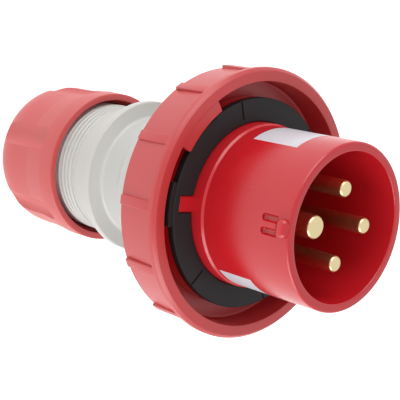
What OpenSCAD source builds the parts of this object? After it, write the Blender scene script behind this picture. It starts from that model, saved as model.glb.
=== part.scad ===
// Watertight industrial pin and sleeve plug, 16 A, three phases and earth.
// The axis is Z and the plug stands on its gland nut, with its mouth up.
// Places along the axis are depths behind the mouth rim, unless named otherwise.

/* [Overall] */
// Length from the mouth rim to the rear face of the gland nut
plug_len = 145; // [141:1:165]

/* [Shroud] */
// Outer radius of the shroud
shroud_r = 25; // [24.5:0.1:25.5]
// Wall of the shroud
shroud_wall = 2.8; // [2:0.1:3.2]
// Depth of the contact face
cavity_depth = 38; // [37:0.5:39]
// Depth at which the foot of the shroud steps out
foot_depth = 33.2; // [30:0.2:35]
// How far the foot of the shroud stands out
foot_step = 0.6; // [0.3:0.1:1]
// Bevel at the mouth rim
rim_bevel = 0.6; // [0.3:0.1:1]

/* [Key] */
// Width of the polarising key
key_w = 5.4; // [4:0.1:6]
// Height of the key over the shroud
key_h = 2; // [1.2:0.1:2.5]
// Length of the solid pad of the key
key_pad_len = 5.2; // [4:0.1:7]
// Length of the ribbed tail of the key
key_tail_len = 5.8; // [4:0.1:8]
// Thickness of the ribs in the key tail
key_rib = 0.8; // [0.6:0.1:1.2]

/* [Flange and gasket] */
// Depth of the gasket's sealing face
seal_depth = 37.6; // [36:0.2:39]
// Thickness of the face gasket
gasket_t = 2.4; // [1.5:0.1:3]
// Outer radius of the face gasket
gasket_r = 33; // [32.5:0.1:34]
// Outer radius of the ear on the gasket
ear_r = 35.2; // [34:0.1:36]
// Half the angle that the ear takes up
ear_half = 11.5; // [8:0.5:14]
// Thickness of the flange behind the gasket
flange_t = 4.5; // [3:0.1:6]
// Width of the index peg that passes through the gasket
peg_w = 5.5; // [4:0.1:7]
// Outer radius of the index peg
peg_r = 31; // [29:0.5:32]
// Width of the score lines in the gasket
score_w = 0.7; // [0.4:0.1:1.2]

/* [Neck] */
// Outer radius of the neck behind the flange
neck_r = 28.5; // [27.5:0.1:29.5]
// Depth at which the neck ends
neck_depth = 66; // [62:0.5:68]
// How far the snap lugs and the stop lug stand out
lug_h = 1.7; // [1.2:0.1:2]

/* [Bayonet ring] */
// Outer radius over the grip ribs
ring_r = 42.4; // [41:0.1:44]
// Depth of the ring's front face
ring_depth = 35.4; // [34.5:0.1:36]
// Length of the ring
ring_len = 17.6; // [16:0.2:20]
// Inner radius at the front
ring_bore_r = 38.2; // [37.5:0.1:39]
// Radius of the panels between the ribs
panel_r = 40.8; // [40.2:0.1:42]
// Length of the smooth bead at the front
bead_len = 2.8; // [2:0.1:4]
// Number of grip ribs
rib_count = 13; // [8:1:18]
// Width of a grip rib
rib_w = 3.4; // [2.5:0.1:4.5]
// Angle of the first rib from the key
rib_phase = 1.6; // [0:0.1:27]
// Thickness of the web that bears on the flange
web_t = 3.5; // [3:0.1:4.5]
// Inner radius of the two bayonet ramps
ramp_r = 34.5; // [34:0.1:36]
// Angle that a bayonet ramp takes up
ramp_angle = 27; // [20:1:35]
// Middle of the first bayonet ramp from the key
ramp_phase = -40.5; // [-50:0.5:-30]
// Thickness of a bayonet ramp
ramp_t = 1.7; // [1.2:0.1:1.8]
// Turn of the ring from open to locked
lock_angle = 55; // [40:1:60]

/* [Contacts] */
// Radius of the circle on which the pins stand
pin_circle_r = 11; // [10.8:0.1:12]
// Radius of a phase pin
phase_r = 2.5; // [2.4:0.05:2.6]
// Radius of the earth pin
earth_r = 3.5; // [3.4:0.05:3.6]
// Depth of the pin tips behind the mouth rim
tip_depth = 2; // [1:0.1:4]
// Rounding of the pin tips
tip_round = 1.2; // [0.8:0.1:1.6]
// How much wider than a pin its collar is
collar_step = 1.5; // [1:0.1:2]
// Length of the terminal barrel behind the retainer
barrel_len = 11; // [9:0.5:13]
// Thickness of the front wall of the contact carrier
carrier_wall = 3; // [2:0.1:4]
// Thickness of the collars and their pockets
collar_t = 5; // [4:0.1:6]
// Depth of the relief turned into a pin where it leaves the carrier
relief = 0.2; // [0.1:0.05:0.3]
// Thickness of the pin retainer
retainer_t = 3; // [2:0.1:4]

/* [Rear housing] */
// Depth of the front face of the rim
rim_depth = 87.6; // [84:0.2:92]
// Outer radius of the rim
rim_r = 25.9; // [25:0.1:27]
// Thickness of the rim
rim_t = 2.6; // [2:0.1:4]
// Outer radius of the waist in front of the rim
waist_r = 20.8; // [20.5:0.1:22]
// Outer radius of the tube behind the rim
tube_r = 22.4; // [22.1:0.1:23]
// Depth at which the gland thread starts
thread_depth = 101; // [98:0.5:104]
// Depth at which the threaded tail ends
tail_depth = 122; // [118:0.5:123]
// Height of the gland thread
thread_h = 0.8; // [0.6:0.1:1]
// Wall of the rear housing
rear_wall = 2.6; // [2.2:0.1:3]
// Radius of the bore that holds the cable seal
seal_seat_r = 16.5; // [15.5:0.1:17]

/* [Cable gland] */
// Outer radius of the gland nut
nut_r = 28.2; // [27.5:0.1:29]
// Depth of the front rim of the nut
nut_depth = 108.2; // [107:0.2:110]
// Radius of the nut at its front rim
nut_front_r = 26.4; // [26:0.1:27]
// Radius of the cable hole
cable_hole_r = 8.5; // [7:0.1:9.5]
// Inner radius of the relaxed cable seal
seal_r = 6.5; // [5.5:0.1:7.5]
// Number of finger scallops around the nut
scallop_count = 7; // [5:1:9]
// Lead of the gland thread
thread_pitch = 2.5; // [2:0.1:3]
// Number of fingers on the clamp cage
finger_count = 10; // [8:1:12]
// Thickness of the slip washer
washer_t = 1.5; // [1:0.1:2]

/* [Labels] */
// Half the angle that the upper label takes up
upper_label_half = 32; // [20:1:38]
// Front and rear depths of the upper label
upper_label_d = [11.5, 28.5];
// Half the angle that the lower label takes up
lower_label_half = 41; // [20:1:44]
// Front and rear depths of the lower label
lower_label_d = [19.5, 32.4];
// Thickness of a label plate
label_t = 0.4; // [0.2:0.1:0.6]

/* [Fits] */
// Clearance between pieces that are fitted together
fit = 0.1; // [0.05:0.01:0.15]
// Clearance between pieces that move on each other
slip = 0.3; // [0.25:0.05:0.4]

/* [Hidden] */
$fn = 96;
cut = 1;
cavity_r = shroud_r - shroud_wall;
foot_r = shroud_r + foot_step;
seat_r = cavity_r + 1.1;
flange_depth = seal_depth + gasket_t;
flange_back = flange_depth + flange_t;
carrier_back = cavity_depth + carrier_wall + collar_t;
retainer_back = carrier_back + retainer_t;
barrel_end = retainer_back + barrel_len;
spigot_r = seat_r + 1.5;
spigot_front = retainer_back + slip;
spigot_wall = 3;
web_front = flange_back + slip;
web_back = web_front + web_t;
ring_back = ring_depth + ring_len;
web_hole_r = neck_r + 0.5;
ledge_depth = thread_depth;
ledge_t = 3;
ledge_r = seal_seat_r - 3.5;
root_r = tube_r - thread_h;
nut_bore_r = tube_r + slip;
washer_back = plug_len - 12.5;
washer_front = washer_back - washer_t;
nut_ledge = washer_back + slip;
cage_end = washer_front - slip;
washer_r = 17.2;
cage_seat = tail_depth - 6;
step_bore_r = washer_r + slip;
pin_turns = [0, 90, 180, 270];
screw_depth = retainer_back + barrel_len / 2;
o_ring_t = 2;
o_ring_depth = spigot_front + 5;
lock_screw_depth = o_ring_depth + 7.5;

// A solid turned from an outline of [radius, depth] points
module turned(outline)
    rotate_extrude() polygon([for (p = outline) [p[0], plug_len - p[1]]]);

// A cylinder or tube between two depths
module tube(front, back, r, bore = 0)
    turned([[bore, front], [r, front], [r, back], [bore, back]]);

// Part of a tube between two angles
module sector(from, to, front, back, r, bore)
    rotate([0, 0, from]) rotate_extrude(angle = to - from)
        translate([bore, plug_len - back]) square([r - bore, back - front]);

// A block that points outwards along X, centred on it
module block(front, back, w, r, bore)
    translate([bore, -w / 2, plug_len - back]) cube([r - bore, w, back - front]);

// A cylinder that points outwards along X at one depth
module spoke(depth, r, from, to)
    translate([from, 0, plug_len - depth]) rotate([0, 90, 0]) cylinder(r = r, h = to - from);

// The pad of the key at the mouth and its ribbed tail
module key() {
    tail_end = key_pad_len + key_tail_len;
    tail_r = shroud_r + key_h * 0.8;
    root = shroud_r - shroud_wall / 2;
    block(0, key_pad_len - key_w / 4, key_w, shroud_r + key_h, root);
    intersection() {
        block(0, key_pad_len, key_w, shroud_r + key_h, root);
        spoke(0, key_pad_len, root - cut, shroud_r + key_h + cut);
    }
    difference() {
        block(key_pad_len - key_w / 4, tail_end, key_w, tail_r, root);
        for (side = [-1, 1])
            translate([0, side * (key_w - key_rib) / 4, 0])
                block(key_pad_len + key_rib, tail_end - key_rib,
                      (key_w - 3 * key_rib) / 2, tail_r + cut, shroud_r);
    }
}

// A shallow pocket for a label plate
module label_pocket(middle, half, span) {
    play = fit / shroud_r * 180 / PI;
    sector(middle - half - play, middle + half + play, span[0] - fit, span[1] + fit,
           shroud_r + cut, shroud_r - label_t);
}

module front_housing() {
    color([0.78, 0.13, 0.14]) difference() {
        union() {
            turned([[cavity_r, 0], [shroud_r - rim_bevel, 0], [shroud_r, rim_bevel],
                    [shroud_r, foot_depth], [foot_r, foot_depth + foot_step],
                    [foot_r, flange_depth], [gasket_r - 0.2, flange_depth],
                    [gasket_r - 0.2, flange_back], [neck_r, flange_back],
                    [neck_r, neck_depth], [spigot_r + fit, neck_depth],
                    [spigot_r + fit, retainer_back], [seat_r + fit, retainer_back],
                    [seat_r + fit, cavity_depth], [cavity_r, cavity_depth]]);
            sector(-ear_half, ear_half, flange_depth, flange_back, ear_r - 0.2, gasket_r - cut);
            block(seal_depth - 0.6, flange_depth + cut, peg_w, peg_r, foot_r - cut);
            key();
            // Snap lugs that keep the ring on, and the lug that stops its turn
            for (turn = [45 : 90 : 315])
                sector(turn - 5, turn + 5, web_back + slip, web_back + slip + 2.2,
                       neck_r + lug_h, neck_r - cut);
            sector(175, 185, flange_back - cut, web_back, neck_r + lug_h, neck_r - cut);
        }
        label_pocket(-90, upper_label_half, upper_label_d);
        label_pocket(90, lower_label_half, lower_label_d);
        rotate([0, 0, 180]) {
            spoke(lock_screw_depth, 1.6, spigot_r - cut, neck_r + cut);
            spoke(lock_screw_depth, 3.1, neck_r - 1.7, neck_r + cut);
        }
    }
}

module bayonet_ring() {
    rib_r = ring_r - 0.1;
    rib_angle = rib_w / ring_r * 180 / PI;
    grip_rib = [for (p = [[panel_r - 0.5, ring_depth + bead_len - 0.5],
                          [rib_r, ring_depth + bead_len - 0.5], [rib_r, ring_back - 2],
                          [panel_r + 0.3, ring_back - 1], [panel_r - 0.5, ring_back - 1]])
                    [p[0], plug_len - p[1]]];
    color([0.8, 0.2, 0.2]) difference() {
        union() {
            turned([[ring_bore_r, ring_depth], [ring_r - 1, ring_depth],
                    [ring_r, ring_depth + 1], [ring_r, ring_depth + bead_len],
                    [panel_r, ring_depth + bead_len + 0.4], [panel_r, ring_back - 0.6],
                    [panel_r - 0.6, ring_back], [ring_bore_r - 0.6, ring_back],
                    [ring_bore_r - 0.6, web_back], [web_hole_r, web_back],
                    [web_hole_r, web_front], [ring_bore_r, web_front]]);
            for (i = [0 : rib_count - 1])
                rotate([0, 0, rib_phase + i * 360 / rib_count - rib_angle / 2])
                    rotate_extrude(angle = rib_angle) polygon(grip_rib);
            for (turn = [0, 180])
                sector(turn + ramp_phase - ramp_angle / 2, turn + ramp_phase + ramp_angle / 2,
                       ring_depth, ring_depth + ramp_t, ring_bore_r + 0.5, ramp_r);
        }
        // Room in the web for the stop lug over the whole turn
        sector(174.5 - lock_angle, 185.5, web_front - cut, web_back + cut,
               neck_r + lug_h + slip, neck_r - cut);
    }
}

module face_gasket() {
    color([0.12, 0.12, 0.12]) difference() {
        union() {
            tube(seal_depth, flange_depth, gasket_r, foot_r + fit);
            sector(-ear_half, ear_half, seal_depth, flange_depth, ear_r, gasket_r - cut);
        }
        block(seal_depth - cut, flange_depth + cut, peg_w + 2 * fit, peg_r + fit, foot_r - cut);
        for (turn = [-71, 48, 109, 228])
            rotate([0, 0, turn])
                block(seal_depth - cut, seal_depth + 0.5, score_w, gasket_r + cut, foot_r + 1.5);
    }
}

module contact_carrier() {
    color([0.7, 0.12, 0.13]) difference() {
        tube(cavity_depth, carrier_back, seat_r);
        for (turn = pin_turns)
            rotate([0, 0, turn]) translate([pin_circle_r, 0, 0]) {
                r = turn == 0 ? earth_r : phase_r;
                tube(cavity_depth - cut, carrier_back + cut, r + fit);
                tube(cavity_depth + carrier_wall, carrier_back + cut, r + collar_step + fit);
            }
        for (turn = [45, 225])
            rotate([0, 0, turn]) translate([17, 0, 0])
                tube(carrier_back - 6.2, carrier_back + cut, 1.5 + fit);
    }
}

module pin_retainer() {
    color([0.85, 0.84, 0.8]) difference() {
        tube(carrier_back, retainer_back, seat_r);
        for (turn = pin_turns)
            rotate([0, 0, turn]) translate([pin_circle_r, 0, 0])
                tube(carrier_back - cut, retainer_back + cut,
                     (turn == 0 ? earth_r : phase_r) + collar_step - 0.5 + fit);
        for (turn = [45, 225])
            rotate([0, 0, turn]) translate([17, 0, 0])
                tube(carrier_back - cut, retainer_back + cut, 1.5 + fit);
    }
}

module retainer_screws() {
    color([0.75, 0.75, 0.75])
        for (turn = [45, 225])
            rotate([0, 0, turn]) translate([17, 0, 0]) difference() {
                turned([[0, carrier_back - 6], [1.5, carrier_back - 6], [1.5, retainer_back],
                        [2.8, retainer_back], [2.8, retainer_back + 1.6],
                        [0, retainer_back + 1.6]]);
                translate([-4, -0.4, plug_len - retainer_back - 1.6 - cut])
                    cube([8, 0.8, cut + 0.9]);
            }
}

// A turned brass contact: pin, collar and drilled terminal barrel
module contact(turn, r) {
    barrel_r = r + collar_step - 0.5;
    wire_r = barrel_r - 1.4;
    color([0.85, 0.68, 0.35]) rotate([0, 0, turn]) translate([pin_circle_r, 0, 0])
        difference() {
            turned(concat(
                [[0, tip_depth]],
                [for (a = [0 : 15 : 90]) [r - tip_round + tip_round * sin(a),
                                          tip_depth + tip_round - tip_round * cos(a)]],
                [[r, cavity_depth - slip], [r - relief, cavity_depth - slip],
                 [r - relief, cavity_depth + carrier_wall],
                 [r + collar_step, cavity_depth + carrier_wall],
                 [r + collar_step, carrier_back], [barrel_r, carrier_back],
                 [barrel_r, barrel_end], [0, barrel_end]]));
            tube(barrel_end - 9, barrel_end + cut, wire_r);
            spoke(screw_depth, 1.6, 0, barrel_r + cut);
        }
}

// A slotted clamping screw in a terminal barrel
module terminal_screw(turn, r) {
    barrel_r = r + collar_step - 0.5;
    color([0.75, 0.75, 0.75]) rotate([0, 0, turn]) translate([pin_circle_r, 0, 0])
        difference() {
            spoke(screw_depth, 1.5, barrel_r - 1.6, barrel_r + 2.2);
            translate([barrel_r + 1.6, -cut * 2, plug_len - screw_depth - 0.3])
                cube([cut, cut * 4, 0.6]);
        }
}

module rear_housing() {
    neck_bore = spigot_r - spigot_wall;
    waist_bore = waist_r - rear_wall;
    color([0.86, 0.86, 0.85]) difference() {
        turned([[neck_bore, spigot_front], [spigot_r, spigot_front], [spigot_r, neck_depth],
                [neck_r, neck_depth], [neck_r, neck_depth + 3], [waist_r, neck_depth + 12],
                [waist_r, rim_depth], [rim_r, rim_depth], [rim_r, rim_depth + rim_t],
                [tube_r, rim_depth + rim_t + 3], [tube_r, thread_depth], [root_r, thread_depth],
                [root_r, tail_depth], [seal_seat_r, tail_depth], [seal_seat_r, ledge_depth],
                [ledge_r, ledge_depth], [ledge_r, ledge_depth - ledge_t],
                [waist_bore, ledge_depth - ledge_t - 3], [waist_bore, neck_depth + 12],
                [neck_bore, neck_depth + 3]]);
        turned([[spigot_r - 1.5, o_ring_depth - 1.1], [spigot_r + cut, o_ring_depth - 1.1],
                [spigot_r + cut, o_ring_depth + 1.1], [spigot_r - 1.5, o_ring_depth + 1.1]]);
        rotate([0, 0, 180]) spoke(lock_screw_depth, 1.6, neck_bore - cut, spigot_r + cut);
    }
}

module housing_o_ring() {
    color([0.1, 0.1, 0.1]) rotate_extrude()
        translate([spigot_r - 1.5 + fit / 2 + (1.5 - fit / 2) / 2, plug_len - o_ring_depth])
            circle(r = (1.5 - fit / 2) / 2, $fn = 32);
}

module housing_screw() {
    color([0.75, 0.75, 0.75]) rotate([0, 0, 180]) difference() {
        union() {
            spoke(lock_screw_depth, 1.5, spigot_r - spigot_wall + 0.2, neck_r - 1.6);
            spoke(lock_screw_depth, 2.9, neck_r - 1.6, neck_r - 0.2);
        }
        translate([neck_r - 0.9, -4, plug_len - lock_screw_depth - 0.4]) cube([cut, 8, 0.8]);
    }
}

module cable_seal() {
    color([0.12, 0.12, 0.12])
        turned([[seal_r, ledge_depth + 2], [seal_seat_r - 3, ledge_depth], [seal_seat_r - fit, ledge_depth],
                [seal_seat_r - fit, cage_seat], [seal_r + 2, cage_seat], [seal_r, cage_seat - 2]]);
}

module clamp_cage() {
    root = seal_seat_r - fit;
    bore = cable_hole_r + 1.5;
    color([0.9, 0.9, 0.88]) difference() {
        turned([[bore, cage_seat], [root, cage_seat], [root, cage_end - 3],
                [root - 2.5, cage_end], [bore, cage_end]]);
        for (i = [0 : finger_count - 1])
            rotate([0, 0, i * 360 / finger_count])
                block(cage_seat + 4, cage_end + cut, 2, root + cut, bore - cut);
    }
}

module slip_washer() {
    color([0.88, 0.88, 0.86]) tube(washer_front, washer_back, washer_r, cable_hole_r + 2);
}

module gland_nut() {
    rear = plug_len;
    color([0.8, 0.24, 0.24]) difference() {
        turned([[nut_bore_r, nut_depth], [nut_front_r, nut_depth],
                [nut_r - 0.5, nut_depth + 5], [nut_r, nut_depth + 11], [nut_r - 0.4, rear - 16],
                [nut_r - 1.8, rear - 9], [nut_r - 4, rear - 4.5], [nut_r - 7.2, rear - 1.4],
                [nut_r - 11, rear], [cable_hole_r + 1.5, rear], [cable_hole_r, rear - 1.5],
                [cable_hole_r, rear - 5], [cable_hole_r + 4.5, nut_ledge], [step_bore_r, nut_ledge],
                [step_bore_r, tail_depth + 2.5], [nut_bore_r, tail_depth + 2.5]]);
        for (i = [0 : scallop_count - 1])
            rotate([0, 0, -70 + i * 360 / scallop_count])
                translate([nut_r + 7.4, 0, plug_len - nut_depth - 10])
                    rotate([0, 190, 0]) cylinder(r = 9, h = 40);
    }
}

module label_plate(middle, half, span)
    color([0.92, 0.92, 0.93])
        sector(middle - half, middle + half, span[0], span[1], shroud_r, shroud_r - label_t);

front_housing();
bayonet_ring();
face_gasket();
contact_carrier();
pin_retainer();
retainer_screws();
contact(0, earth_r);  // earth_pin
contact(90, phase_r);  // phase_pin_1
contact(180, phase_r);  // phase_pin_2
contact(270, phase_r);  // phase_pin_3
terminal_screw(0, earth_r);  // earth_screw
terminal_screw(90, phase_r);  // phase_screw_1
terminal_screw(180, phase_r);  // phase_screw_2
terminal_screw(270, phase_r);  // phase_screw_3
rear_housing();
housing_o_ring();
housing_screw();
cable_seal();
clamp_cage();
slip_washer();
gland_nut();
label_plate(-90, upper_label_half, upper_label_d);  // upper_label
label_plate(90, lower_label_half, lower_label_d);  // lower_label
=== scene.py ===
"""Looks of a watertight industrial pin and sleeve plug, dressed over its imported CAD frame."""
import math

import bpy
from mathutils import Matrix, Vector


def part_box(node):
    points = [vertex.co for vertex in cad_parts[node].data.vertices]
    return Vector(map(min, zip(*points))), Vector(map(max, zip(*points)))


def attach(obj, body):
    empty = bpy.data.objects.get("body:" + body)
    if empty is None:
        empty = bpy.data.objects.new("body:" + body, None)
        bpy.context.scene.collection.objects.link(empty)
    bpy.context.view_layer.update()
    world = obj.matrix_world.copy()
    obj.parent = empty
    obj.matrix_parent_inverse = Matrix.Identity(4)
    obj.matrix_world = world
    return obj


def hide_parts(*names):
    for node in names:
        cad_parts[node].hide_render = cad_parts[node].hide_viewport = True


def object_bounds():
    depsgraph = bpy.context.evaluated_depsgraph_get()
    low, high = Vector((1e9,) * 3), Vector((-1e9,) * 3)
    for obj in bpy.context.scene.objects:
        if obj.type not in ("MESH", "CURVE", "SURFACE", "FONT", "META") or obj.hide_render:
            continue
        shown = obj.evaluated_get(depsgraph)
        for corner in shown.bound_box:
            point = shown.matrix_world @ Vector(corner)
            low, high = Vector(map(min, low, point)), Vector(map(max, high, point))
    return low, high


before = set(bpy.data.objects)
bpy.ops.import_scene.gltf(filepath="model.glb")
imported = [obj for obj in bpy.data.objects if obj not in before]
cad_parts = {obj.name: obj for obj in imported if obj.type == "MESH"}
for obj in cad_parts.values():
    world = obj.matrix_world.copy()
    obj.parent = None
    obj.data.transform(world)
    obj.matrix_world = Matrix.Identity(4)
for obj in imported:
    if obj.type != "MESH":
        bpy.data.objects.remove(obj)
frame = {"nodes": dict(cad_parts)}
cad_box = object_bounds()

MM = 0.001

# ---------------------------------------------------------------- driving sizes, in millimetres
# Places along the axis are depths behind the mouth rim, as a moulder's drawing gives them.
PLUG_LEN = (cad_box[1][2] - cad_box[0][2]) / MM

SHROUD_R = 25.0
KEY_W = 5.4
KEY_PAD_LEN = 4.2
KEY_END = 10.4
KEY_RIB_W = 1.6
CAVITY_R = 22.2
SEAT_R = 23.4
SPIGOT_R = 24.9
CAVITY_DEPTH = 38.0
FOOT_DEPTH = 33.2
FOOT_R = 25.6
FLANGE_R = 32.8
NECK_R = 28.5
NECK_DEPTH = 66.0
EAR_R = 35.0
EAR_HALF = 11.5
LABEL_T = 0.4

RING_R = 42.4
RING_BORE_R = 38.2
RING_TRIM = 0.6
PANEL_R = 41.3
RING_DRAFT = 0.5
BEAD_LEN = 2.8
RIB_COUNT = 13
RIB_PHASE = 1.2
RIB_W = 3.0
WEB_HOLE_R = 29.0
RAMP_R = 34.5
RAMP_T = 1.7
RAMP_ANGLE = 27.0
RAMP_PHASE = -40.5

PIN_CIRCLE_R = 11.0
PHASE_R = 2.5
EARTH_R = 3.5

WAIST_R = 20.2
RIM_DEPTH = 87.6
RIM_R = 25.9
RIM_T = 2.6
TUBE_R = 22.4
THREAD_DEPTH = 100.0
THREAD_H = 0.8
THREAD_LEAD = 2.0
TAIL_DEPTH = 122.0
LEDGE_DEPTH = 101.0

NUT_R = 25.5
NUT_FRONT_R = 26.2
NUT_LIP = 2.3
NUT_RELIEF = 4.0
NUT_FACE_R = 17.2
NUT_BELLY_DEPTH = 124.0
DOME_LEN = 13.0
DOME_FULLNESS = 2.5
COLLAR_LEN = 6.8
CABLE_HOLE_R = 8.5
SCALLOP_COUNT = 6
SCALLOP_PHASE = -18.0
SCALLOP_R = 6.0
SCALLOP_FLOOR_R = 24.0
SCALLOP_TILT = 1.5


def depth_of(node, end):
    """Depth, in millimetres, of the front (1) or the rear (0) of a CAD node."""
    return PLUG_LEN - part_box(node)[end][2] / MM


SEAL_DEPTH = depth_of("face_gasket", 1)
FLANGE_DEPTH = depth_of("face_gasket", 0)
FLANGE_BACK = FLANGE_DEPTH + 4.5
RETAINER_BACK = depth_of("pin_retainer", 0)
RING_DEPTH = depth_of("bayonet_ring", 1)
RING_BACK = depth_of("bayonet_ring", 0) - RING_TRIM
WEB_FRONT = FLANGE_BACK + 0.3
WEB_BACK = WEB_FRONT + 3.5
NUT_DEPTH = depth_of("gland_nut", 1)
WASHER_BACK = depth_of("slip_washer", 0)
UPPER_LABEL = (depth_of("upper_label", 1), depth_of("upper_label", 0))
LOWER_LABEL = (depth_of("lower_label", 1), depth_of("lower_label", 0))


# ---------------------------------------------------------------- modelling helpers
def nothing_selected():
    if bpy.context.object and bpy.context.object.mode != "OBJECT":
        bpy.ops.object.mode_set(mode="OBJECT")
    bpy.ops.object.select_all(action="DESELECT")


def only(piece):
    nothing_selected()
    piece.select_set(True)
    bpy.context.view_layer.objects.active = piece


def name_piece(name):
    piece = bpy.context.object
    piece.name = name
    piece.data.name = name
    return piece


def place_in_mesh(piece):
    """Moves an object's place, turn and scale into its mesh."""
    only(piece)
    bpy.ops.object.transform_apply(location=True, rotation=True, scale=True)


def smooth(piece, angle=28):
    only(piece)
    bpy.ops.object.shade_smooth_by_angle(angle=math.radians(angle))


def apply_modifier(piece, kind, **settings):
    only(piece)
    modifier = piece.modifiers.new(kind.title(), kind)
    for key, value in settings.items():
        setattr(modifier, key, value)
    bpy.ops.object.modifier_apply(modifier=modifier.name)


def ride_all(body, *pieces):
    for piece in pieces:
        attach(piece, body)


def rounded(outline, closed=True):
    """An outline of (radius, depth, fillet) corners as points, with each fillet as an arc."""
    points = []
    count = len(outline)
    for i, (r, d, fillet) in enumerate(outline):
        here = Vector((r, d))
        if fillet == 0 or (not closed and i in (0, count - 1)):
            points.append(here)
            continue
        before = Vector(outline[i - 1][:2]) - here
        after = Vector(outline[(i + 1) % count][:2]) - here
        half = before.angle(after) / 2
        reach = min(fillet / math.tan(half), 0.49 * before.length, 0.49 * after.length)
        radius = reach * math.tan(half)
        a, b = before.normalized(), after.normalized()
        centre = here + (a + b).normalized() * (radius / math.sin(half))
        start, end = here + a * reach - centre, here + b * reach - centre
        turn = start.angle_signed(end)
        steps = max(2, round(abs(math.degrees(turn)) / 15))
        for k in range(steps + 1):
            spin = Matrix.Rotation(-turn * k / steps, 2)
            points.append(centre + spin @ start)
    return points


def turned(name, outline, columns=288, closed=True, turn=0.0):
    """A solid turned about the plug's axis, extruded ring by ring from a circle.

    outline holds (radius, depth, fillet) corners. A closed outline is a tube's section;
    an open one starts and ends on the end faces of a solid bar.
    """
    points = rounded(outline, closed)
    nothing_selected()
    r, d = points[0]
    bpy.ops.mesh.primitive_circle_add(vertices=columns, radius=r * MM)
    piece = name_piece(name)
    bpy.ops.object.mode_set(mode="EDIT")
    bpy.ops.mesh.select_all(action="SELECT")
    bpy.ops.transform.translate(value=(0, 0, (PLUG_LEN - d) * MM))
    rest = points[1:] + ([points[0]] if closed else [])
    for r_next, d_next in rest:
        bpy.ops.mesh.extrude_region_move(
            TRANSFORM_OT_translate={"value": (0, 0, (d - d_next) * MM)})
        height = (PLUG_LEN - d_next) * MM
        bpy.ops.transform.resize(value=(r_next / r, r_next / r, 1),
                                 center_override=(0, 0, height))
        r, d = r_next, d_next
    bpy.ops.mesh.select_all(action="SELECT")
    bpy.ops.mesh.remove_doubles(threshold=1e-7)
    if not closed:
        bpy.ops.mesh.select_all(action="DESELECT")
        bpy.ops.mesh.select_non_manifold()
        bpy.ops.mesh.fill_holes(sides=0)
        bpy.ops.mesh.select_all(action="SELECT")
    bpy.ops.mesh.normals_make_consistent(inside=False)
    bpy.ops.object.mode_set(mode="OBJECT")
    if turn:
        piece.rotation_euler.z = math.radians(turn)
        place_in_mesh(piece)
    return piece


def polar(point):
    """Radius and depth in millimetres, and angle in degrees, of a point of a piece."""
    angle = math.degrees(math.atan2(point.y, point.x))
    return math.hypot(point.x, point.y) / MM, PLUG_LEN - point.z / MM, angle


def pick_faces(piece, wanted):
    """Selects, in edit mode, the faces whose middle (radius, depth, angle) passes a test."""
    only(piece)
    bpy.ops.object.mode_set(mode="EDIT")
    bpy.ops.mesh.select_mode(type="FACE")
    bpy.ops.mesh.select_all(action="DESELECT")
    bpy.ops.object.mode_set(mode="OBJECT")
    for face in piece.data.polygons:
        face.select = wanted(*polar(face.center), face.normal)
    bpy.ops.object.mode_set(mode="EDIT")


def between(angle, middle, half):
    """Whether an angle lies within half of middle, both in degrees."""
    return abs((angle - middle + 180) % 360 - 180) < half


def raise_faces(piece, wanted, height, bevel=0.0, segments=3):
    """Extrudes the picked faces along their normals, by a height in millimetres."""
    pick_faces(piece, wanted)
    bpy.ops.mesh.extrude_region_shrink_fatten(
        TRANSFORM_OT_shrink_fatten={"value": height * MM, "use_even_offset": True})
    if bevel:
        bpy.ops.mesh.region_to_loop()
        bpy.ops.mesh.bevel(offset=bevel * MM, segments=segments, profile=0.5,
                           affect="EDGES", clamp_overlap=True)
    bpy.ops.object.mode_set(mode="OBJECT")


def block(name, front, back, width, outer, inner, angle=0.0, bevel=0.3, segments=3, aside=0.0,
          draft=0.0, rounding=0.0):
    """A bevelled block that points outwards at an angle about the axis.

    draft draws its top in towards the rear, and rounding rounds its two rear corners.
    """
    nothing_selected()
    bpy.ops.mesh.primitive_cube_add(size=1)
    piece = name_piece(name)
    piece.scale = ((outer - inner) * MM, width * MM, (back - front) * MM)
    piece.location = ((outer + inner) / 2 * MM, aside * MM, (PLUG_LEN - (front + back) / 2) * MM)
    place_in_mesh(piece)
    middle_x, middle_z = (outer + inner) / 2 * MM, (PLUG_LEN - (front + back) / 2) * MM
    if draft:
        for vertex in piece.data.vertices:
            vertex.select = vertex.co.x > middle_x and vertex.co.z < middle_z
        slide_selected(piece, (-draft * MM, 0, 0))
    if rounding:
        for edge in piece.data.edges:
            ends = [piece.data.vertices[i].co for i in edge.vertices]
            edge.select = all(end.z < middle_z for end in ends) and \
                abs(ends[0].y - ends[1].y) < 1e-6
        only(piece)
        bpy.ops.object.mode_set(mode="EDIT")
        bpy.ops.mesh.select_mode(type="EDGE")
        bpy.ops.mesh.bevel(offset=rounding * MM, segments=10, affect="EDGES")
        bpy.ops.object.mode_set(mode="OBJECT")
    if bevel:
        apply_modifier(piece, "BEVEL", width=bevel * MM, segments=segments,
                       limit_method="ANGLE", angle_limit=math.radians(40))
    piece.rotation_euler.z = math.radians(angle)
    place_in_mesh(piece)
    return piece


def slide_selected(piece, move):
    """Moves the vertices that are selected in a piece."""
    only(piece)
    bpy.ops.object.mode_set(mode="EDIT")
    bpy.ops.mesh.select_mode(type="VERT")
    bpy.ops.transform.translate(value=move)
    bpy.ops.object.mode_set(mode="OBJECT")


def cut_away(piece, cutter):
    """Cuts one piece out of another and takes the cutter away."""
    apply_modifier(piece, "BOOLEAN", object=cutter, operation="DIFFERENCE", solver="EXACT")
    bpy.data.objects.remove(cutter)


def join(name, *parts):
    only(parts[0])
    for part in parts[1:]:
        part.select_set(True)
    bpy.ops.object.join()
    return name_piece(name)


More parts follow.
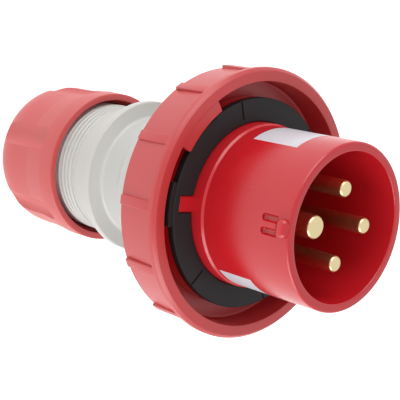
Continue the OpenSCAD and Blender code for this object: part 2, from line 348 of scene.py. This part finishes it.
# ---------------------------------------------------------------- pieces
def front_housing():
    """Shroud, foot, flange and neck in one moulding, with pockets for the labels."""
    upper, lower = UPPER_LABEL, LOWER_LABEL
    rows = sorted([upper[0] - 0.1, upper[1] + 0.1, lower[0] - 0.1, lower[1] + 0.1])
    outline = [(CAVITY_R, 0, 0.5), (SHROUD_R, 0, 0.8)]
    outline += [(SHROUD_R, d, 0) for d in rows]
    outline += [(SHROUD_R, FOOT_DEPTH, 0.3), (FOOT_R, FOOT_DEPTH + 0.6, 0.3),
                (FOOT_R, FLANGE_DEPTH, 0.2), (FLANGE_R, FLANGE_DEPTH, 0.5),
                (FLANGE_R, FLANGE_BACK, 0.4), (NECK_R, FLANGE_BACK, 0.4),
                (NECK_R, NECK_DEPTH, 0.5), (SPIGOT_R, NECK_DEPTH, 0.3),
                (SPIGOT_R, RETAINER_BACK, 0.1), (SEAT_R, RETAINER_BACK, 0.1),
                (SEAT_R, CAVITY_DEPTH, 0), (CAVITY_R, CAVITY_DEPTH, 0)]
    shell = turned("front_shell", outline, columns=360)
    for span, middle, half in ((upper, -90, 32.2), (lower, 90, 41.2)):
        raise_faces(shell, lambda r, d, a, n: r > SHROUD_R - 0.1 and n.z < 0.5
                    and span[0] - 0.1 < d < span[1] + 0.1 and between(a, middle, half),
                    -LABEL_T)
    raise_faces(shell, lambda r, d, a, n: r > FLANGE_R - 0.05 and FLANGE_DEPTH < d < FLANGE_BACK
                and between(a, 0, EAR_HALF), EAR_R - FLANGE_R, bevel=0.3)
    lugs = [block(f"snap_lug_{i}", WEB_BACK + 0.3, WEB_BACK + 2.5, 4.6, NECK_R + 1.7,
                  NECK_R - 1, angle=45 + 90 * i, bevel=0.5) for i in range(4)]
    stop = block("stop_lug", FLANGE_BACK - 0.5, WEB_BACK, 4.8, NECK_R + 1.7, NECK_R - 1, angle=180)
    peg = block("index_peg", SEAL_DEPTH + 0.4, FLANGE_DEPTH + 1, 5.2, 30.8, FOOT_R - 0.5, bevel=0.5,
                segments=4)
    cut_key_hollows(shell)
    return join("front_housing_shell", shell, stop, peg, *lugs)


def cut_key_hollows(piece):
    """Sinks the two pockets behind the pad of the key and leaves the rib between them."""
    width = (KEY_W + 0.6 - KEY_RIB_W) / 2
    for side in (-1, 1):
        cut_away(piece, block("key_hollow", KEY_PAD_LEN - 0.2, KEY_END, width, SHROUD_R + 2, SHROUD_R - 1.3,
                              aside=side * (KEY_RIB_W + width) / 2, bevel=0,
                              rounding=width * 0.45))


def shroud_key():
    """The pad of the polarising key, at the mouth in front of its two pockets."""
    return block("shroud_key", 0.05, KEY_PAD_LEN, KEY_W, SHROUD_R + 2, SHROUD_R - 1, bevel=0.55,
                 segments=5, rounding=1.7)


def bayonet_ring():
    """The locking ring: front bead, grip ribs, web and two bayonet ramps."""
    bead_back = RING_DEPTH + BEAD_LEN
    rear_r = PANEL_R - RING_DRAFT
    inner_r = RING_BORE_R - 0.6
    outline = [(RING_BORE_R, RING_DEPTH, 0.25), (RING_R - 1.0, RING_DEPTH, 0.35),
               (RING_R, RING_DEPTH + 1.0, 0.35), (RING_R, bead_back, 0.3),
               (PANEL_R, bead_back + 0.3, 0.3), (rear_r, RING_BACK, 0.8), (inner_r, RING_BACK, 0.3),
               (inner_r, WEB_BACK, 0.6), (WEB_HOLE_R, WEB_BACK, 0.3), (WEB_HOLE_R, WEB_FRONT, 0.3),
               (RING_BORE_R, WEB_FRONT, 0.8), (RING_BORE_R, RING_DEPTH + RAMP_T, 0)]
    ring = turned("bayonet_ring_body", outline, columns=360)
    for turn in (0, 180):
        raise_faces(ring, lambda r, d, a, n: abs(r - RING_BORE_R) < 0.05 and abs(n.z) < 0.1
                    and d < RING_DEPTH + RAMP_T + 0.01
                    and between(a, turn + RAMP_PHASE, RAMP_ANGLE / 2),
                    RING_BORE_R - RAMP_R, bevel=0.3)
    ribs = [block(f"grip_rib_{i}", bead_back - 1.0, RING_BACK - 0.9, RIB_W, RING_R - 0.12,
                  PANEL_R - 1.5, angle=RIB_PHASE + i * 360 / RIB_COUNT, bevel=0.35,
                  draft=RING_DRAFT) for i in range(RIB_COUNT)]
    return join("bayonet_ring_body", ring, *ribs)


def face_gasket():
    """The soft ring that a socket's rim presses on, with its ear and score lines."""
    outline = [(FOOT_R + 0.1, SEAL_DEPTH, 0.4), (33.0, SEAL_DEPTH, 0.5),
               (33.0, FLANGE_DEPTH, 0.1), (FOOT_R + 0.1, FLANGE_DEPTH, 0.1)]
    gasket = turned("gasket_ring", outline, columns=360)
    raise_faces(gasket, lambda r, d, a, n: r > 32.9 and abs(n.z) < 0.5 and between(a, 0, EAR_HALF),
                2.2, bevel=0.3)
    for i, turn in enumerate((-71, 48, 109, 228)):
        cut_away(gasket, block(f"score_{i}", SEAL_DEPTH - 1, SEAL_DEPTH + 0.5, 0.7, 34.0, 27.1,
                               angle=turn, bevel=0.1))
    cut_away(gasket, block("peg_slot", SEAL_DEPTH - 1, FLANGE_DEPTH + 1, 5.5, 30.9, 24.0))
    return gasket


def contact(name, turn, radius):
    """A turned brass contact with a rounded tip, a collar and a drilled barrel."""
    barrel = radius + 1.0
    wire = barrel - 1.4
    end = RETAINER_BACK + 11
    outline = [(0.3, 2.0, 0), (radius, 2.0, 1.2), (radius, 37.7, 0), (radius - 0.2, 37.7, 0),
               (radius - 0.2, 41.0, 0), (radius + 1.5, 41.0, 0.2), (radius + 1.5, 46.0, 0.2),
               (barrel, 46.0, 0.1), (barrel, end, 0.3), (wire, end, 0.2), (wire, end - 9, 0)]
    pin = turned(name, outline, columns=64, closed=False)
    pin.location = (PIN_CIRCLE_R * MM, 0, 0)
    place_in_mesh(pin)
    pin.rotation_euler.z = math.radians(turn)
    place_in_mesh(pin)
    return pin


def rear_housing():
    """Waist, rim and tube of the grey housing, with its bored and threaded tail."""
    waist_bore = WAIST_R - 2.6
    neck_bore = SPIGOT_R - 0.1 - 3
    root_r = TUBE_R - THREAD_H
    groove = RETAINER_BACK + 0.3 + 5
    outline = [(neck_bore, RETAINER_BACK + 0.3, 0.3), (SPIGOT_R - 0.1, RETAINER_BACK + 0.3, 0.4),
               (SPIGOT_R - 0.1, groove - 1.1, 0), (SPIGOT_R - 1.6, groove - 1.1, 0.1),
               (SPIGOT_R - 1.6, groove + 1.1, 0.1), (SPIGOT_R - 0.1, groove + 1.1, 0),
               (SPIGOT_R - 0.1, NECK_DEPTH, 0), (NECK_R, NECK_DEPTH, 0.4),
               (NECK_R, NECK_DEPTH + 3, 1.5), (WAIST_R, NECK_DEPTH + 12, 5),
               (WAIST_R, RIM_DEPTH, 1.2), (RIM_R, RIM_DEPTH, 0.6),
               (RIM_R, RIM_DEPTH + RIM_T, 0.4), (TUBE_R, RIM_DEPTH + RIM_T + 3, 1.5),
               (TUBE_R, THREAD_DEPTH, 0.3), (root_r, THREAD_DEPTH + 0.4, 0.2),
               (root_r, TAIL_DEPTH, 0.4), (16.5, TAIL_DEPTH, 0.3), (16.5, LEDGE_DEPTH, 0.2),
               (13.0, LEDGE_DEPTH, 0.3), (13.0, LEDGE_DEPTH - 3, 0.3),
               (waist_bore, LEDGE_DEPTH - 6, 0.5), (waist_bore, NECK_DEPTH + 12, 2),
               (neck_bore, NECK_DEPTH + 3, 1)]
    return turned("rear_housing_shell", outline, columns=240)


def gland_thread():
    """The external thread on the tail, one rounded ridge swept along its helix."""
    turns = (TAIL_DEPTH - THREAD_DEPTH - 1.6) / THREAD_LEAD
    root_r = TUBE_R - THREAD_H
    start = PLUG_LEN - TAIL_DEPTH + 0.9
    nothing_selected()
    bpy.ops.mesh.primitive_circle_add(vertices=10, radius=1, rotation=(math.pi / 2, 0, 0))
    ridge = name_piece("gland_thread")
    place_in_mesh(ridge)
    ridge.scale = ((THREAD_H + 0.2) * MM, 1, THREAD_LEAD * 0.36 * MM)
    ridge.location = ((root_r - 0.25) * MM, 0, start * MM)
    place_in_mesh(ridge)
    apply_modifier(ridge, "SCREW", angle=2 * math.pi, screw_offset=THREAD_LEAD * MM,
                   iterations=int(turns), steps=96, render_steps=96, use_merge_vertices=True)
    bpy.ops.object.mode_set(mode="EDIT")
    bpy.ops.mesh.select_all(action="SELECT")
    bpy.ops.mesh.remove_doubles(threshold=1e-7)
    bpy.ops.mesh.select_all(action="DESELECT")
    bpy.ops.mesh.select_non_manifold()
    bpy.ops.mesh.edge_face_add()
    bpy.ops.mesh.select_all(action="SELECT")
    bpy.ops.mesh.normals_make_consistent(inside=False)
    bpy.ops.object.mode_set(mode="OBJECT")
    return ridge


def gland_nut():
    """The gland nut: plain front collar, domed rear and finger scallops cut into the body."""
    ledge = WASHER_BACK + 0.3
    bore = TUBE_R + 0.3
    lip_r = NUT_FRONT_R - NUT_LIP
    step = TAIL_DEPTH + 2.5
    collar_back = NUT_DEPTH + COLLAR_LEN
    outline = [(lip_r, NUT_DEPTH, 0.4), (NUT_FRONT_R, NUT_DEPTH, 0.5),
               (NUT_FRONT_R + 0.1, collar_back, 9), (NUT_R, NUT_BELLY_DEPTH, 9)]
    power = 2 / DOME_FULLNESS
    for k in range(19):
        a = math.radians(k * 5)
        outline.append((NUT_FACE_R + (NUT_R - NUT_FACE_R) * max(math.cos(a), 0) ** power,
                        PLUG_LEN - DOME_LEN * (1 - math.sin(a) ** power), 0))
    outline += [(CABLE_HOLE_R + 1.5, PLUG_LEN, 0.4), (CABLE_HOLE_R, PLUG_LEN - 1.5, 0.3),
                (CABLE_HOLE_R, PLUG_LEN - 5, 0.2), (CABLE_HOLE_R + 4.5, ledge, 0.2),
                (17.5, ledge, 0.3), (17.5, step, 0.2), (bore, step, 0.2),
                (bore, NUT_DEPTH + NUT_RELIEF + 1, 0.3), (lip_r, NUT_DEPTH + NUT_RELIEF, 0.3)]
    nut = turned("gland_nut_body", outline, columns=240)
    for i in range(SCALLOP_COUNT):
        nothing_selected()
        bpy.ops.mesh.primitive_cylinder_add(vertices=128, radius=SCALLOP_R * MM, depth=40 * MM)
        cutter = name_piece(f"scallop_{i}")
        cutter.location = (0, 0, -20 * MM)
        place_in_mesh(cutter)
        apply_modifier(cutter, "BEVEL", width=3.0 * MM, segments=8, limit_method="ANGLE",
                       angle_limit=math.radians(40))
        cutter.rotation_euler.y = math.radians(SCALLOP_TILT)
        cutter.location = ((SCALLOP_FLOOR_R + SCALLOP_R) * MM, 0,
                           (PLUG_LEN - collar_back + 0.6) * MM)
        place_in_mesh(cutter)
        cutter.rotation_euler.z = math.radians(SCALLOP_PHASE + i * 360 / SCALLOP_COUNT)
        place_in_mesh(cutter)
        cut_away(nut, cutter)
    return nut


# ---------------------------------------------------------------- materials
class Nodes:
    """A short hand for building one node tree."""

    def __init__(self, tree):
        self.tree = tree
        tree.nodes.clear()

    def add(self, kind, **settings):
        node = self.tree.nodes.new(kind)
        for key, value in settings.items():
            setattr(node, key, value)
        return node

    def link(self, source, target):
        self.tree.links.new(source, target)


def surface_group():
    """Moulded or turned surface: slow colour drift, fine grain in gloss and in relief."""
    group = bpy.data.node_groups.new("surface_grain", "ShaderNodeTree")
    sockets = (("Colour", "NodeSocketColor", (0.5, 0.5, 0.5, 1)),
               ("Drift", "NodeSocketFloat", 0.05), ("Roughness", "NodeSocketFloat", 0.4),
               ("Grain Size", "NodeSocketFloat", 3000.0), ("Grain Depth", "NodeSocketFloat", 0.1))
    for name, kind, value in sockets:
        socket = group.interface.new_socket(name=name, in_out="INPUT", socket_type=kind)
        socket.default_value = value
    for name, kind in (("Colour", "NodeSocketColor"), ("Roughness", "NodeSocketFloat"),
                       ("Normal", "NodeSocketVector")):
        group.interface.new_socket(name=name, in_out="OUTPUT", socket_type=kind)
    nodes = Nodes(group)
    given = nodes.add("NodeGroupInput")
    out = nodes.add("NodeGroupOutput")
    place = nodes.add("ShaderNodeTexCoord")
    slow = nodes.add("ShaderNodeTexNoise")
    slow.inputs["Scale"].default_value = 45.0
    slow.inputs["Detail"].default_value = 3.0
    grain = nodes.add("ShaderNodeTexNoise")
    grain.inputs["Detail"].default_value = 2.0
    nodes.link(place.outputs["Object"], slow.inputs["Vector"])
    nodes.link(place.outputs["Object"], grain.inputs["Vector"])
    nodes.link(given.outputs["Grain Size"], grain.inputs["Scale"])

    centred = nodes.add("ShaderNodeMath", operation="SUBTRACT")
    centred.inputs[1].default_value = 0.5
    drift = nodes.add("ShaderNodeMath", operation="MULTIPLY")
    value = nodes.add("ShaderNodeMath", operation="ADD")
    value.inputs[1].default_value = 1.0
    tone = nodes.add("ShaderNodeHueSaturation")
    nodes.link(slow.outputs["Fac"], centred.inputs[0])
    nodes.link(centred.outputs[0], drift.inputs[0])
    nodes.link(given.outputs["Drift"], drift.inputs[1])
    nodes.link(drift.outputs[0], value.inputs[0])
    nodes.link(value.outputs[0], tone.inputs["Value"])
    nodes.link(given.outputs["Colour"], tone.inputs["Color"])
    nodes.link(tone.outputs["Color"], out.inputs["Colour"])

    uneven = nodes.add("ShaderNodeMath", operation="MULTIPLY_ADD")
    uneven.inputs[1].default_value = 0.12
    nodes.link(centred.outputs[0], uneven.inputs[0])
    nodes.link(given.outputs["Roughness"], uneven.inputs[2])
    nodes.link(uneven.outputs[0], out.inputs["Roughness"])

    bump = nodes.add("ShaderNodeBump")
    bump.inputs["Distance"].default_value = 0.0001
    nodes.link(grain.outputs["Fac"], bump.inputs["Height"])
    nodes.link(given.outputs["Grain Depth"], bump.inputs["Strength"])
    nodes.link(bump.outputs["Normal"], out.inputs["Normal"])
    return group


SURFACE = surface_group()


def finish(name, colour, roughness, drift=0.08, grain_size=3000.0, grain_depth=0.12, metallic=0.0,
           specular=0.5, coat=0.0, coat_roughness=0.1):
    """A Principled material whose colour, gloss and relief come from the surface group."""
    material = bpy.data.materials.new(name)
    material.use_nodes = True
    nodes = Nodes(material.node_tree)
    out = nodes.add("ShaderNodeOutputMaterial")
    shader = nodes.add("ShaderNodeBsdfPrincipled")
    grain = nodes.add("ShaderNodeGroup", node_tree=SURFACE)
    grain.inputs["Colour"].default_value = (*colour, 1)
    grain.inputs["Drift"].default_value = drift
    grain.inputs["Roughness"].default_value = roughness
    grain.inputs["Grain Size"].default_value = grain_size
    grain.inputs["Grain Depth"].default_value = grain_depth
    shader.inputs["Metallic"].default_value = metallic
    shader.inputs["Specular IOR Level"].default_value = specular
    shader.inputs["Coat Weight"].default_value = coat
    shader.inputs["Coat Roughness"].default_value = coat_roughness
    nodes.link(grain.outputs["Colour"], shader.inputs["Base Color"])
    nodes.link(grain.outputs["Roughness"], shader.inputs["Roughness"])
    nodes.link(grain.outputs["Normal"], shader.inputs["Normal"])
    nodes.link(shader.outputs["BSDF"], out.inputs["Surface"])
    return material


SHELL_RED = finish("shell_red", (0.62, 0.012, 0.020), 0.25, specular=0.65)
RING_RED = finish("ring_red", (0.60, 0.045, 0.048), 0.36, grain_depth=0.2, specular=0.7)
# The nut's base is lifted towards pink, above the ring's red: a painted sheen that stands in for part of
# the white reflection on the nut.
NUT_RED = finish("nut_red", (0.66, 0.085, 0.082), 0.38, grain_depth=0.2, specular=0.7)
CARRIER_RED = finish("carrier_red", (0.30, 0.004, 0.008), 0.6, specular=0.1)
SHELL_GREY = finish("shell_grey", (0.66, 0.66, 0.63), 0.34, drift=0.03, specular=0.6)
SEAL_BLACK = finish("seal_black", (0.015, 0.015, 0.016), 0.6, drift=0.3, grain_depth=0.35,
                    specular=0.3)
BRASS = finish("contact_brass", (0.75, 0.62, 0.35), 0.28, drift=0.1, metallic=1.0, grain_depth=0.06)
STEEL = finish("screw_steel", (0.62, 0.63, 0.65), 0.3, metallic=1.0, grain_depth=0.08)
INNER = finish("inner_plastic", (0.72, 0.70, 0.64), 0.45, drift=0.03)
LABEL = finish("label_white", (0.74, 0.73, 0.78), 0.3, drift=0.03, grain_depth=0.04)


def dress(piece, material):
    piece.data.materials.clear()
    piece.data.materials.append(material)


# ---------------------------------------------------------------- camera, light and floor
# Where the camera stands: bearing about the axis from the key, height over the horizon, and roll
VIEW_BEARING = -11.03
VIEW_ELEVATION = 45.17
VIEW_ROLL = -105.1
VIEW_DISTANCE = 0.35011
VIEW_AIM = (0.00065, 0.00334, 0.0848)
LENS = 97.15
SENSOR = 36.0
LENS_SHIFT = (-0.001, 0.003)
# How bright the room is, and how much the floor lifts itself to white where it is seen
WORLD_LEVEL = 0.55
FLOOR_GLOW = 0.8


def add_camera():
    bearing, elevation = math.radians(VIEW_BEARING), math.radians(VIEW_ELEVATION)
    back = Vector((math.cos(elevation) * math.cos(bearing),
                   math.cos(elevation) * math.sin(bearing), math.sin(elevation)))
    upright = back.to_track_quat("Z", "Y").to_matrix().to_4x4()
    look = Matrix.Rotation(math.radians(-VIEW_ROLL), 4, back) @ upright
    camera = bpy.data.objects.new("camera", bpy.data.cameras.new("camera"))
    camera.matrix_world = Matrix.Translation(Vector(VIEW_AIM) + back * VIEW_DISTANCE) @ look
    camera.data.lens = LENS
    camera.data.sensor_width = SENSOR
    camera.data.shift_x, camera.data.shift_y = LENS_SHIFT
    camera.data.clip_start = 0.01
    bpy.context.scene.collection.objects.link(camera)
    bpy.context.scene.camera = camera
    return camera


def add_lamp(name, place, size, power, aim=(0, 0, 0.08)):
    lamp = bpy.data.lights.new(name, "AREA")
    lamp.shape = "SQUARE"
    lamp.size = size
    lamp.energy = power
    holder = bpy.data.objects.new(name, lamp)
    holder.location = place
    holder.rotation_euler = (Vector(place) - Vector(aim)).to_track_quat("Z", "Y").to_euler()
    bpy.context.scene.collection.objects.link(holder)
    return holder


def light_path_share(nodes):
    """1 for camera, glossy and transmission rays, 0 for the rays that light the object."""
    path = nodes.add("ShaderNodeLightPath")
    either = nodes.add("ShaderNodeMath", operation="MAXIMUM")
    all_three = nodes.add("ShaderNodeMath", operation="MAXIMUM")
    nodes.link(path.outputs["Is Camera Ray"], either.inputs[0])
    nodes.link(path.outputs["Is Glossy Ray"], either.inputs[1])
    nodes.link(either.outputs[0], all_three.inputs[0])
    nodes.link(path.outputs["Is Transmission Ray"], all_three.inputs[1])
    return all_three.outputs[0]


def add_world(level=WORLD_LEVEL):
    world = bpy.data.worlds.new("studio")
    world.use_nodes = True
    bpy.context.scene.world = world
    nodes = Nodes(world.node_tree)
    out = nodes.add("ShaderNodeOutputWorld")
    seen = nodes.add("ShaderNodeBackground")
    lighting = nodes.add("ShaderNodeBackground")
    mix = nodes.add("ShaderNodeMixShader")
    lighting.inputs["Strength"].default_value = level
    nodes.link(light_path_share(nodes), mix.inputs["Fac"])
    nodes.link(lighting.outputs[0], mix.inputs[1])
    nodes.link(seen.outputs[0], mix.inputs[2])
    nodes.link(mix.outputs[0], out.inputs["Surface"])
    seen.inputs["Color"].default_value = (1, 1, 1, 1)


def add_floor():
    nothing_selected()
    bpy.ops.mesh.primitive_plane_add(size=6)
    floor = name_piece("floor")
    material = bpy.data.materials.new("floor_white")
    material.use_nodes = True
    nodes = Nodes(material.node_tree)
    out = nodes.add("ShaderNodeOutputMaterial")
    paper = nodes.add("ShaderNodeBsdfDiffuse")
    paper.inputs["Color"].default_value = (0.8, 0.8, 0.8, 1)
    glow = nodes.add("ShaderNodeEmission")
    total = nodes.add("ShaderNodeAddShader")
    strength = nodes.add("ShaderNodeMath", operation="MULTIPLY")
    strength.inputs[1].default_value = FLOOR_GLOW
    nodes.link(light_path_share(nodes), strength.inputs[0])
    nodes.link(strength.outputs[0], glow.inputs["Strength"])
    nodes.link(paper.outputs[0], total.inputs[0])
    nodes.link(glow.outputs[0], total.inputs[1])
    nodes.link(total.outputs[0], out.inputs["Surface"])
    floor.data.materials.append(material)


# ---------------------------------------------------------------- the plug
def build():
    nodes = frame["nodes"]
    front, key = front_housing(), shroud_key()
    ring, gasket = bayonet_ring(), face_gasket()
    rear, thread, nut = rear_housing(), gland_thread(), gland_nut()
    pins = [contact("earth_contact", 0, EARTH_R)]
    pins += [contact(f"phase_contact_{i}", 90 * i, PHASE_R) for i in (1, 2, 3)]
    for piece in (front, key, ring, gasket, rear, thread, nut, *pins):
        smooth(piece)
    for piece in (front, key):
        dress(piece, SHELL_RED)
    for piece in (rear, thread):
        dress(piece, SHELL_GREY)
    for piece in pins:
        dress(piece, BRASS)
    dress(ring, RING_RED)
    dress(gasket, SEAL_BLACK)
    dress(nut, NUT_RED)
    ride_all("plug_body", front, key, gasket, rear, thread, *pins)
    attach(ring, "locking_ring")
    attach(nut, "nut")
    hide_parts("front_housing")
    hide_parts("bayonet_ring")
    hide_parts("face_gasket")
    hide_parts("rear_housing")
    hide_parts("gland_nut")
    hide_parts("earth_pin")
    for i in (1, 2, 3):
        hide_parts(f"phase_pin_{i}")
    kept = {"contact_carrier": CARRIER_RED, "pin_retainer": INNER, "retainer_screws": STEEL,
            "earth_screw": STEEL, "phase_screw_1": STEEL, "phase_screw_2": STEEL,
            "phase_screw_3": STEEL, "housing_o_ring": SEAL_BLACK, "housing_screw": STEEL,
            "cable_seal": SEAL_BLACK, "clamp_cage": INNER, "slip_washer": INNER,
            "upper_label": LABEL, "lower_label": LABEL}
    for node, material in kept.items():
        nodes[node].data.materials.clear()
        nodes[node].data.materials.append(material)


add_camera()
build()
add_world()
add_floor()
add_lamp("key_light", (0.5, 1.0, 0.4), 0.9, 9)
add_lamp("fill_light", (0.3, -1.0, 0.45), 0.9, 7)
bpy.context.scene.view_settings.view_transform = "Standard"
